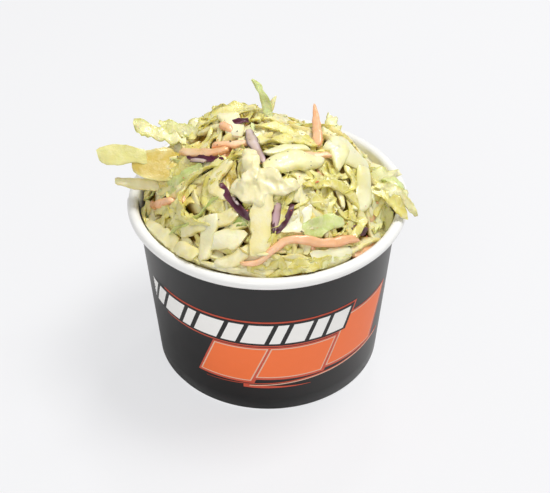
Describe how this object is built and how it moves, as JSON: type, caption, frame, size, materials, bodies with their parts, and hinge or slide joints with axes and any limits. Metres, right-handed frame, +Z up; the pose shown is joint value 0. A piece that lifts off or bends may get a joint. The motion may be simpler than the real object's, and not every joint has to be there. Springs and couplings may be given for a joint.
{
  "type": "coleslaw in a paper tub",
  "caption": "Creamy coleslaw of cabbage, red cabbage and carrot shreds, heaped above the curled lip of a squat paper tub that stands on its folded foot.",
  "frame": {"origin": "on the table, under the middle of the whole object's outline; the tub's axis stands 2.8 mm to the right of it, because the shreds reach further out on the left", "axes": "+Z up along the tub's axis, -Y towards the viewer in front, +X to the right"},
  "size_m": [0.1008, 0.09, 0.0971],
  "materials": {
    "tub_board": "black printed board, satin, with a bare white lip and lining",
    "white_board": "white coated board, satin",
    "coleslaw": "wet shredded vegetables in creamy dressing"
  },
  "bodies": {
    "root": {"tub_wall": "tub_board", "tub_floor": "white_board", "slaw_heap": "coleslaw"}
  },
  "joints": []
}
